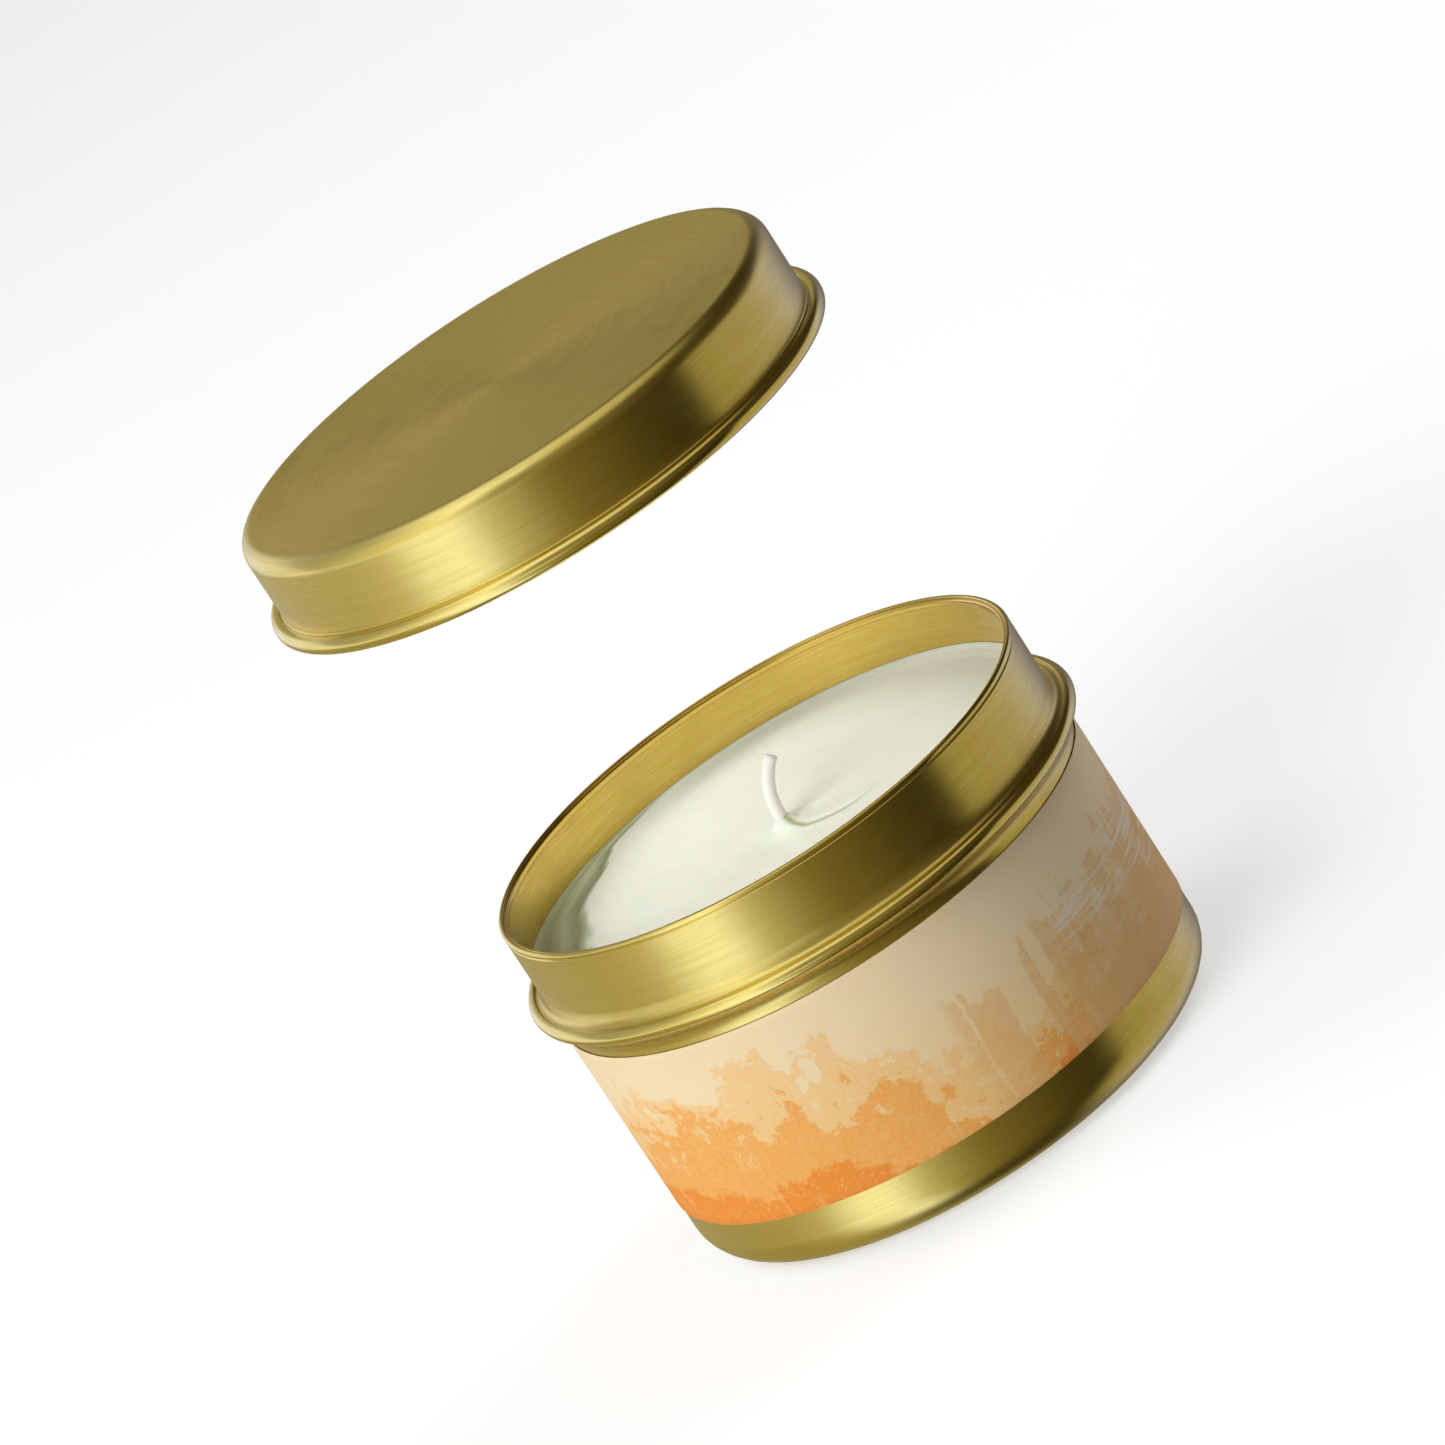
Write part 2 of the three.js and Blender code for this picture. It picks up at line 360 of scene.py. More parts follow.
def build_brushed():
    """Fine strokes that run round the axis, on walls and on flat faces alike."""
    inputs = {"Place": None, "Stroke length": 0.02, "Stroke width": 0.0001}
    graph, source, put = new_group("Brushed grain", inputs, ("Height", "Strokes"))
    x, y, z = graph.parts(source["Place"])
    radius = graph.length(graph.vector(x, y, 0.0))
    across = graph.math("DIVIDE", graph.math("MULTIPLY_ADD", radius, 1.3, z), source["Stroke width"])
    along_x = graph.math("DIVIDE", x, source["Stroke length"])
    along_y = graph.math("DIVIDE", y, source["Stroke length"])
    fine = graph.noise(graph.vector(along_x, along_y, across), 1.0, detail=2, roughness=0.7)
    wide = graph.stretch(graph.vector(along_x, along_y, across), (0.45, 0.45, 0.11))
    broad = graph.noise(wide, 1.0, detail=3, roughness=0.6)
    put(Height=fine, Strokes=graph.mix_value(0.3, fine, broad))


def build_handling():
    """Faint cloudy marks left by handling."""
    graph, source, put = new_group("Handling marks", {"Place": None, "Scale": 60.0}, ("Marks",))
    cloud = graph.noise(source["Place"], source["Scale"], detail=4, roughness=0.62, distortion=0.6)
    patch = graph.noise(source["Place"], graph.math("MULTIPLY", source["Scale"], 4.3), detail=3)
    put(Marks=graph.smooth(graph.product(cloud, patch), 0.2, 0.42))


def build_fibre():
    """Short crossed fibres, as in paper and in cotton."""
    inputs = {"Place": None, "Scale": 2500.0, "Lengthwise": 5.0}
    graph, source, put = new_group("Fibre", inputs, ("Height", "Fleck"))
    squeeze = graph.math("DIVIDE", 1.0, source["Lengthwise"])
    upright = graph.stretch(source["Place"], graph.vector(1.0, 1.0, squeeze))
    across = graph.stretch(source["Place"], graph.vector(squeeze, squeeze, 1.0))
    first = graph.noise(upright, source["Scale"], detail=2)
    second = graph.noise(across, source["Scale"], detail=2)
    height = graph.math("MAXIMUM", first, second)
    put(Height=height, Fleck=graph.smooth(height, 0.6, 0.75))


def build_mottle():
    """Soft uneven cloudiness between 0 and 1."""
    inputs = {"Place": None, "Scale": 80.0, "Softness": 0.25}
    graph, source, put = new_group("Mottle", inputs, ("Cloud", "Fine"))
    cloud = graph.noise(source["Place"], source["Scale"], detail=4, roughness=0.6, distortion=0.4)
    fine = graph.noise(source["Place"], graph.math("MULTIPLY", source["Scale"], 9.0), detail=3)
    low = graph.math("SUBTRACT", 0.5, source["Softness"])
    high = graph.math("ADD", 0.5, source["Softness"])
    put(Cloud=graph.smooth(cloud, low, high), Fine=graph.smooth(fine, low, high))


# ---------------------------------------------------------------- finishes


# Where the brushed sheet changes, as the place where each change starts and the place where it is complete.
RIM_DEPTH = (1.15 * MM, 0.95 * MM)  # rolled smooth, by distance from the top of the can
BEAD_RADIUS = (39.3 * MM, 39.7 * MM)  # rolled smoother outwards
BOUNCE_TINT_RADIUS = (38.4 * MM, 38.2 * MM)  # painted warm tint of light bounced round inside the can, inwards
BOUNCE_TINT_HEIGHT = (43 * MM, 44 * MM)  # and upwards
ROLLED_ROUGHNESS = 0.12


def gold_tinplate(colours):
    """Gold lacquer over brushed tinplate, smoother on the rim and the bead, with a painted warm tint of bounced light
    inside the can.
    """
    material, graph, shader, place = new_material(
        "Gold tinplate",
        Metallic=1.0,
        Anisotropic=0.6,
        Anisotropic_Rotation=0.25,
        Coat_Weight=0.12,
        Coat_Roughness=0.22,
    )
    grain = graph.group("Brushed grain", **{"Place": place, "Stroke length": 0.013, "Stroke width": 0.00011})
    marks = graph.group("Handling marks", Place=place, Scale=55.0)["Marks"]
    around = graph.group("Around the axis", Place=place)
    radius, height = around["Radius"], around["Height"]
    top = CAN_BOX[1].z
    rim = graph.smooth(graph.math("ABSOLUTE", graph.math("SUBTRACT", height, top)), *RIM_DEPTH)
    bead = graph.smooth(radius, *BEAD_RADIUS)
    # Where the painted warm bounce light lies: inside the can, above the shelf and up to the rim.
    inside = graph.product(graph.smooth(radius, *BOUNCE_TINT_RADIUS), graph.smooth(height, *BOUNCE_TINT_HEIGHT))
    inside = graph.product(inside, graph.smooth(height, top + 0.2 * MM, top))

    strokes = graph.smooth(grain["Strokes"], 0.3, 0.7)
    strokes = graph.mix_value(graph.product(bead, 0.8), strokes, 0.65)
    base = graph.mix(strokes, colours.gold_deep[:], colours.gold[:])
    base = graph.mix(graph.product(marks, 0.25), base, colours.gold_deep[:])
    # The inside is multiplied by the painted tint of warm bounced light.
    graph.feed(shader.inputs["Base Color"], graph.mix(inside, base, colours.inside_bounce_tint[:], blend="MULTIPLY"))
    rough = graph.math("MULTIPLY_ADD", strokes, -0.07, 0.32)
    rough = graph.math("MULTIPLY_ADD", marks, 0.05, rough)
    rough = graph.mix_value(graph.product(bead, 0.6), rough, ROLLED_ROUGHNESS)
    graph.feed(shader.inputs["Roughness"], graph.mix_value(rim, rough, ROLLED_ROUGHNESS))
    rolled = graph.math("MAXIMUM", graph.product(bead, 0.85), rim)
    relief = graph.mix_value(rolled, grain["Height"], 0.5)
    graph.feed(shader.inputs["Normal"], graph.bump(relief, 0.16, 0.00002))
    tangent = graph.add("ShaderNodeTangent", direction_type="RADIAL", axis="Z")
    graph.feed(shader.inputs["Tangent"], tangent.outputs[0])
    return material


def plain_tinplate(colours):
    """Plain pressed tinplate, a little dull."""
    material, graph, shader, place = new_material("Plain tinplate", Metallic=1.0)
    grain = graph.group("Brushed grain", **{"Place": place, "Stroke length": 0.006, "Stroke width": 0.00012})
    marks = graph.group("Handling marks", Place=place, Scale=180.0)["Marks"]
    dull = graph.mix(0.35, colours.steel[:], (0.4, 0.39, 0.36))
    graph.feed(shader.inputs["Base Color"], graph.mix(marks, colours.steel[:], dull))
    graph.feed(shader.inputs["Roughness"], graph.math("MULTIPLY_ADD", marks, 0.12, 0.34))
    graph.feed(shader.inputs["Normal"], graph.bump(grain["Height"], 0.2, 0.00002))
    return material


# How high each wash reaches up the label, as shares of its height, by place round it from back to back.
PALE_LEVELS = (
    (0.0, 0.55),
    (0.3, 0.64),
    (0.4, 0.70),
    (0.47, 0.64),
    (0.515, 0.30),
    (0.565, 0.26),
    (0.59, 0.52),
    (0.64, 0.56),
    (0.67, 0.70),
    (0.75, 0.60),
    (1.0, 0.55),
)
STRONG_LEVELS = (
    (0.0, 0.32),
    (0.3, 0.44),
    (0.37, 0.52),
    (0.43, 0.34),
    (0.48, 0.34),
    (0.512, 0.06),
    (0.57, 0.0),
    (0.595, 0.26),
    (0.64, 0.24),
    (0.67, 0.46),
    (0.75, 0.44),
    (1.0, 0.32),
)
BAND_LEVELS = (
    (0.0, 0.15),
    (0.3, 0.17),
    (0.36, 0.14),
    (0.42, 0.18),
    (0.445, 0.04),
    (0.48, 0.0),
    (0.7, 0.0),
    (0.8, 0.12),
    (1.0, 0.15),
)


def label_paper(colours):
    """Cream paper under three ragged washes of orange, with tan blocks and dry strokes on the right."""
    material, graph, shader, place = new_material("Label paper", Specular_IOR_Level=0.35)
    around = graph.group("Around the axis", Place=place)
    angle, height = around["Angle"], around["Height"]
    foot, top = LABEL_BOX[0].z, LABEL_BOX[1].z
    up = graph.math("DIVIDE", graph.math("SUBTRACT", height, foot), top - foot)
    turn = graph.math("MULTIPLY_ADD", angle, 1 / 360, 0.5)
    right = graph.smooth(angle, 16.0, 42.0)
    soft = graph.noise(place, 85.0, detail=4, roughness=0.6, distortion=0.8)
    ragged = graph.noise(place, 380.0, detail=5, roughness=0.7, distortion=0.5)
    speckle = graph.noise(place, 1900.0, detail=3, roughness=0.8)
    mottle = graph.group("Mottle", Place=place, Scale=210.0, Softness=0.28)

    def layer(mask, strength, below, shade):
        return graph.mix(graph.product(mask, strength), below, shade)

    # The paper, and the washes that reach up it to three levels.
    wander = graph.math("MULTIPLY_ADD", soft, 1.35, graph.product(ragged, 0.85))
    wander = graph.math("SUBTRACT", graph.math("MULTIPLY_ADD", speckle, 0.22, wander), 1.21)
    edge = graph.math("ADD", up, wander)
    brushed = graph.noise(graph.vector(graph.product(angle, 0.12), graph.product(up, 16.0), 0.0), 1.0)
    foot_edge = graph.math("MULTIPLY_ADD", wander, 0.22, graph.math("MULTIPLY_ADD", brushed, 0.16, up))
    pale = graph.smooth(graph.math("SUBTRACT", graph.ramp(turn, PALE_LEVELS), edge), -0.03, 0.03)
    strong = graph.smooth(graph.math("SUBTRACT", graph.ramp(turn, STRONG_LEVELS), edge), -0.025, 0.025)
    band = graph.smooth(graph.math("SUBTRACT", graph.ramp(turn, BAND_LEVELS), foot_edge), -0.1, -0.05)
    paint = graph.mix(graph.smooth(up, 0.85, 0.1), colours.cream[:], colours.peach[:])
    paint = layer(mottle["Cloud"], 0.18, paint, colours.peach[:])
    washes = (
        (pale, graph.mix_value(mottle["Fine"], 0.4, 0.7), colours.wash),
        (strong, graph.mix_value(mottle["Fine"], 0.6, 0.95), colours.orange),
        (band, 0.85, colours.deep_orange),
    )
    for mask, strength, shade in washes:
        paint = layer(mask, strength, paint, graph.mix(right, shade[:], colours.tan[:]))

    # Tan blocks with upright edges, to the right of the front.
    block_way = graph.math("MULTIPLY_ADD", ragged, 0.35, graph.product(angle, 0.11))
    block = graph.smooth(graph.noise(graph.vector(block_way, 0.0, 0.0), 1.0), 0.49, 0.505)
    block_top = graph.math("MULTIPLY_ADD", soft, 1.1, 0.08)
    block = graph.product(
        block,
        graph.smooth(angle, 4.0, 8.0),
        graph.smooth(graph.math("SUBTRACT", block_top, up), -0.02, 0.02),
    )
    paint = layer(block, graph.mix_value(mottle["Fine"], 0.45, 0.75), paint, colours.tan[:])

    # Pale dry strokes round the tin, over the blocks.
    x, y, z = graph.parts(place)
    across = graph.math("MULTIPLY_ADD", angle, 0.006, graph.product(z, 1400.0))
    drag_way = graph.vector(graph.product(x, 60.0), graph.product(y, 60.0), across)
    dragged = graph.noise(drag_way, 1.0, detail=4, roughness=0.7)
    reach = graph.noise(place, 95.0, detail=3)
    dry = graph.product(graph.smooth(dragged, 0.48, 0.6), graph.smooth(reach, 0.42, 0.56))
    window = graph.product(graph.smooth(up, 0.18, 0.4), graph.smooth(up, 0.85, 0.55), graph.smooth(angle, 26.0, 38.0))
    paint = layer(graph.product(dry, window), 0.85, paint, colours.stroke[:])

    # Wear: upright drips, flecks in the strong wash, slanted scratches and spatter.
    drips = graph.noise(graph.stretch(place, (700.0, 700.0, 70.0)), 1.0, detail=3, roughness=0.6)
    drips = graph.product(graph.smooth(drips, 0.54, 0.66), graph.smooth(up, 0.6, 0.3), graph.smooth(soft, 0.42, 0.62))
    paint = layer(drips, 0.32, paint, colours.peach[:])
    flecks = graph.product(graph.smooth(speckle, 0.54, 0.6), graph.smooth(ragged, 0.44, 0.54), strong)
    paint = layer(flecks, 0.35, paint, colours.peach[:])
    slant = graph.math("MULTIPLY_ADD", angle, 0.55, graph.product(up, 22.0))
    scratch_way = graph.vector(graph.product(angle, 0.9), slant, 0.0)
    scratch = graph.noise(graph.stretch(scratch_way, (0.05, 2.2, 1.0)), 1.0, detail=2, roughness=0.4)
    scratch = graph.product(graph.smooth(scratch, 0.69, 0.73), graph.smooth(soft, 0.45, 0.6))
    paint = layer(scratch, 0.45, paint, colours.cream[:])
    spatter = graph.product(graph.smooth(speckle, 0.6, 0.68), graph.smooth(ragged, 0.5, 0.6))
    spatter = graph.product(spatter, graph.product(right, graph.smooth(up, 0.4, 0.7)))
    paint = layer(spatter, 0.6, paint, colours.wash[:])

    fibre = graph.group("Fibre", Place=place, Scale=2600.0, Lengthwise=4.0)
    graph.feed(shader.inputs["Base Color"], layer(fibre["Fleck"], 0.08, paint, colours.cream[:]))
    graph.feed(shader.inputs["Roughness"], graph.math("MULTIPLY_ADD", fibre["Height"], 0.12, 0.5))
    graph.feed(shader.inputs["Normal"], graph.bump(fibre["Height"], 0.12, 0.00003))
    return material


# Colours of the painted shade, streaked, along the wall, from where it leaves the body of the wax to where it meets
# the wall.
WAX_SHADE_STOPS = (
    (0.0, (0.77, 0.80, 0.67)),
    (0.12, (0.50, 0.54, 0.38)),
    (0.24, (0.27, 0.30, 0.17)),
    (0.38, (0.38, 0.42, 0.25)),
    (0.56, (0.60, 0.62, 0.42)),
    (0.76, (0.46, 0.49, 0.28)),
    (1.0, (0.66, 0.65, 0.42)),
)
WAX_SHADE_WIDTH = 9.5 * MM  # at its widest
WAX_SHADE_MIDDLE = -92.0  # bearing of its widest place, in degrees
WAX_SHADE_REACH = 78.0  # degrees from there to either end
WAX_WALL = 38.2 * MM
# A shallow crease in the wax, on part of a circle that starts at the wick, with painted shade along it.
CREASE_X = 8.9 * MM
CREASE_Y = 2.6 * MM
CREASE_RADIUS = 9.1 * MM


def candle_wax(colours):
    """Ivory wax, with painted streaked shade along the wall on the left and painted shade along a shallow crease."""
    material, graph, shader, place = new_material(
        "Candle wax", Subsurface_Weight=0.25, Subsurface_Scale=0.004, Coat_Weight=0.1, Coat_Roughness=0.35
    )
    around = graph.group("Around the axis", Place=place)
    mottle = graph.group("Mottle", Place=place, Scale=75.0, Softness=0.3)
    body = graph.mix(graph.product(mottle["Cloud"], 0.35), colours.wax[:], (0.74, 0.77, 0.64))
    body = graph.mix(graph.product(mottle["Fine"], 0.12), body, (0.86, 0.86, 0.80))

    # Painted shade: a band of dark olive streaks along the wall on the left, where the wall's shade falls on the wax.
    angle, radius = around["Angle"], around["Radius"]
    slow_angle = graph.product(angle, 0.035)
    streak_way = graph.vector(slow_angle, graph.product(radius, 420.0), 0.0)
    streaks = graph.noise(streak_way, 1.0, detail=2, roughness=0.5, distortion=0.2)
    bay = graph.noise(graph.vector(slow_angle, 0.0, 0.0), 1.0, detail=1)
    away = graph.math("ABSOLUTE", graph.math("SUBTRACT", angle, WAX_SHADE_MIDDLE))
    width = graph.product(graph.smooth(away, WAX_SHADE_REACH, 0.0), WAX_SHADE_WIDTH)
    width = graph.math("MULTIPLY_ADD", width, graph.math("MULTIPLY_ADD", bay, 0.8, 0.6), 0.01 * MM)
    depth = graph.math("SUBTRACT", WAX_WALL, radius)
    depth = graph.math("ADD", depth, graph.math("MULTIPLY_ADD", streaks, 2.4 * MM, -1.2 * MM))
    near_wall = graph.math("SUBTRACT", 1.0, graph.math("DIVIDE", depth, width), clamp=True)
    side = graph.smooth(away, WAX_SHADE_REACH, WAX_SHADE_REACH - 18.0)
    thin = graph.ramp(near_wall, WAX_SHADE_STOPS)
    body = graph.mix(graph.product(graph.smooth(near_wall, 0.0, 0.14), side), body, thin)

    # Painted shade: a dark olive line along the crease, where its shade falls.
    x, y, _ = graph.parts(place)
    from_centre = graph.vector(graph.math("SUBTRACT", x, CREASE_X), graph.math("SUBTRACT", y, CREASE_Y), 0.0)
    off_line = graph.math("ABSOLUTE", graph.math("SUBTRACT", graph.length(from_centre), CREASE_RADIUS))
    line = graph.product(
        graph.smooth(off_line, 0.8 * MM, 0.0),
        graph.smooth(y, 1.5 * MM, -1 * MM),
        graph.smooth(x, 15 * MM, 5 * MM),
    )
    body = graph.mix(graph.product(line, 0.85), body, colours.wax_crease_shade[:])
    graph.feed(shader.inputs["Base Color"], body)
    graph.feed(shader.inputs["Roughness"], graph.mix_value(graph.product(near_wall, side), 0.42, 0.22))
    fine = graph.bump(mottle["Fine"], 0.25, 0.00004)
    graph.feed(shader.inputs["Normal"], graph.bump(mottle["Cloud"], 0.3, 0.00015, fine))
    return material


def waxed_cotton(colours):
    """A plaited wick under a thin coat of wax."""
    material, graph, shader, place = new_material("Waxed cotton", Subsurface_Weight=0.2, Subsurface_Scale=0.001)
    fibre = graph.group("Fibre", Place=place, Scale=1800.0, Lengthwise=6.0)
    weave = graph.noise(graph.stretch(place, (900.0, 900.0, 500.0)), 1.0, detail=2)
    shade = graph.mix(graph.product(fibre["Fleck"], 0.25), colours.wick[:], (0.70, 0.70, 0.60))
    graph.feed(shader.inputs["Base Color"], shade)
    graph.feed(shader.inputs["Roughness"], graph.math("MULTIPLY_ADD", fibre["Height"], 0.2, 0.4))
    coarse = graph.bump(weave, 0.25, 0.0001)
    graph.feed(shader.inputs["Normal"], graph.bump(fibre["Height"], 0.15, 0.00003, coarse))
    return material


def sticker_foam(colours):
    """White foam with fine pores."""
    material, graph, shader, place = new_material("Sticker foam")
    mottle = graph.group("Mottle", Place=place, Scale=400.0, Softness=0.2)
    fibre = graph.group("Fibre", Place=place, Scale=3000.0, Lengthwise=1.5)
    shade = graph.mix(graph.product(mottle["Cloud"], 0.2), colours.foam[:], (0.78, 0.78, 0.74))
    graph.feed(shader.inputs["Base Color"], shade)
    graph.feed(shader.inputs["Roughness"], graph.math("MULTIPLY_ADD", mottle["Fine"], 0.1, 0.8))
    graph.feed(shader.inputs["Normal"], graph.bump(fibre["Height"], 0.4, 0.00005))
    return material


def ensure_effects():
    """Builds the shared node groups once."""
    if "Around the axis" in bpy.data.node_groups:
        return
    build_around()
    build_brushed()
    build_handling()
    build_fibre()
    build_mottle()


def finish_of(name, maker):
    """The named material, made the first time that it is asked for."""
    ensure_effects()
    return bpy.data.materials.get(name) or maker(bpy.context.scene.candle_tin_colours)


# ---------------------------------------------------------------- operators


class CANDLETIN_OT_can(bpy.types.Operator):
    """Build the can: base, wall, bead, shelf, neck and rolled rim"""

    bl_idname = "candle_tin.can"
    bl_label = "Can"

    def execute(self, context):
        sizes = context.scene.candle_tin_sizes
        wall, top, bead = sizes.wall_radius, sizes.tin_height, sizes.bead_radius
        shelf, sheet, corner = sizes.shelf_height, sizes.sheet, sizes.base_corner
        rise = sizes.panel_rise
        inner = wall - sheet
        ring = 4.4 * MM
        step = wall - corner - ring
        outside = [
            # Base: the raised panel, the standing ring and the corner.
            (0, rise, 0),
            (step, rise, 0.4 * MM),
            (step, 0, 0.4 * MM),
            (wall, 0, corner),
            # Bead, and the crease in the shelf on top of it.
            (wall, shelf - 3.977 * MM, 2 * MM),
            (bead, shelf - 1.796 * MM, 1 * MM),
            (bead, shelf - 0.505 * MM, 0.95 * MM),
            (bead - 1.15 * MM, shelf - 0.27 * MM, 0.16 * MM),
            (bead - 1.34 * MM, shelf - 0.6 * MM, 0.08 * MM),
            # Flare at the foot of the neck, and the hairline groove under the rim.
            (wall + 0.42 * MM, shelf - 0.42 * MM, 0.85 * MM),
            (wall, shelf + 0.85 * MM, 4 * MM),
            (wall, top - 0.98 * MM, 0.1 * MM),
            (wall - 0.2 * MM, top - 0.81 * MM, 0.06 * MM),
            (wall + 0.02 * MM, top - 0.64 * MM, 0.12 * MM),
        ]
        rim = [
            (wall + 0.02 * MM, top, 0.4 * MM),
            (wall - 0.62 * MM, top, 0.2 * MM),
            (wall - 0.66 * MM, top - 0.36 * MM, 0.05 * MM),
            (wall - 0.82 * MM, top - 0.2 * MM, 0.08 * MM),
            (wall - 1.14 * MM, top - 0.28 * MM, 0.4 * MM),
            (wall - 1.14 * MM, top - 1.25 * MM, 0.3 * MM),
            (inner - 0.03 * MM, top - 1.25 * MM, 0.04 * MM),
        ]
        inside = [
            (inner, top - 1.4 * MM, 0.05 * MM),
            (inner, shelf - 0.35 * MM, 0.3 * MM),
            (bead - sheet, shelf - 0.83 * MM, 0.65 * MM),
            (bead - sheet, shelf - 1.66 * MM, 0.7 * MM),
            (inner, shelf - 3.87 * MM, 2.3 * MM),
            (inner, sheet, corner - sheet),
            (step + sheet, sheet, 0.1 * MM),
            (step + sheet, rise + sheet, 0.6 * MM),
            (0, rise + sheet, 0),
        ]
        bm = bmesh.new()
        rounded_line(bm, outside + rim + inside)
        turn_line(bm, sizes.turn_steps)
        material = finish_of("Gold tinplate", gold_tinplate)
        finished(bm, "can_shell", material, "tin", "tin_body")
        return {"FINISHED"}


class CANDLETIN_OT_lid(bpy.types.Operator):
    """Build the slip lid: top, skirt and outward curl"""

    bl_idname = "candle_tin.lid"
    bl_label = "Lid"

    def execute(self, context):
        sizes = context.scene.candle_tin_sizes
        low, high = LID_BOX[0].z, LID_BOX[1].z
        bore, sheet, reach = sizes.lid_bore, sizes.sheet, sizes.bead_radius
        skirt = bore + sheet
        corner = sizes.lid_corner
        curl = reach - bore
        corners = [
            (0, high, 0),
            (skirt, high, corner),
            (skirt, low + 2.02 * MM, 0.3 * MM),
            (skirt + 0.5 * MM, low + 2.25 * MM, 0.8 * MM),
            (reach, low + 2.25 * MM, 1.0 * MM),
            (reach, low, curl / 2),
            (bore, low, curl / 2 - 0.01 * MM),
            (bore, low + 1.35 * MM, 0.05 * MM),
            (bore + 0.16 * MM, low + 1.45 * MM, 0.05 * MM),
            (bore + 0.16 * MM, low + 1.85 * MM, 0.05 * MM),
            (bore, low + 1.95 * MM, 0.05 * MM),
            (bore, high - sheet, corner - sheet),
            (0, high - sheet, 0),
        ]
        bm = bmesh.new()
        rounded_line(bm, corners)
        turn_line(bm, sizes.turn_steps)
        material = finish_of("Gold tinplate", gold_tinplate)
        finished(bm, "lid_shell", material, "lid", "lid")
        return {"FINISHED"}


class CANDLETIN_OT_label(bpy.types.Operator):
    """Build the paper label, wrapped round the wall with its seam at the back"""

    bl_idname = "candle_tin.label"
    bl_label = "Label"

    def execute(self, context):
        sizes = context.scene.candle_tin_sizes
        foot, top = LABEL_BOX[0].z, LABEL_BOX[1].z
        outside = LABEL_BOX[1].x
        half_seam = sizes.label_seam / 2 / outside
        bm = bmesh.new()
        low = bm.verts.new((0, outside, foot))
        high = bm.verts.new((0, outside, top))
        side = bm.edges.new((low, high))
        bmesh.ops.subdivide_edges(bm, edges=[side], cuts=23)
        bmesh.ops.rotate(bm, verts=bm.verts[:], cent=(0, 0, 0), matrix=Matrix.Rotation(half_seam, 3, "Z"))
        bmesh.ops.spin(
            bm,
            geom=bm.verts[:] + bm.edges[:],
            cent=(0, 0, 0),
            axis=(0, 0, 1),
            dvec=(0, 0, 0),
            angle=2 * (math.pi - half_seam),
            steps=sizes.turn_steps + 16,
            use_merge=False,
            use_duplicate=False,
        )
        bmesh.ops.recalc_face_normals(bm, faces=bm.faces[:])
        bm.faces.ensure_lookup_table()
        first = bm.faces[0]
        if first.normal.dot(first.calc_center_median()) < 0:
            bmesh.ops.reverse_faces(bm, faces=bm.faces[:])
        for vert in bm.verts:
            around = math.atan2(abs(vert.co.x), vert.co.y)
            near_seam = max(0.0, 1 - (around - half_seam) * outside / (5 * MM))
            ripple = noise.noise(vert.co * 140) * 0.02 * MM
            lift = 0.1 * MM * near_seam**2 + ripple * min(1.0, 2 * near_seam)
            vert.co.xy *= 1 + max(0.0, lift) / outside
        bmesh.ops.solidify(bm, geom=bm.faces[:], thickness=sizes.label_paper)
        material = finish_of("Label paper", label_paper)
        finished(bm, "label_wrap", material, "tin", "label")
        return {"FINISHED"}


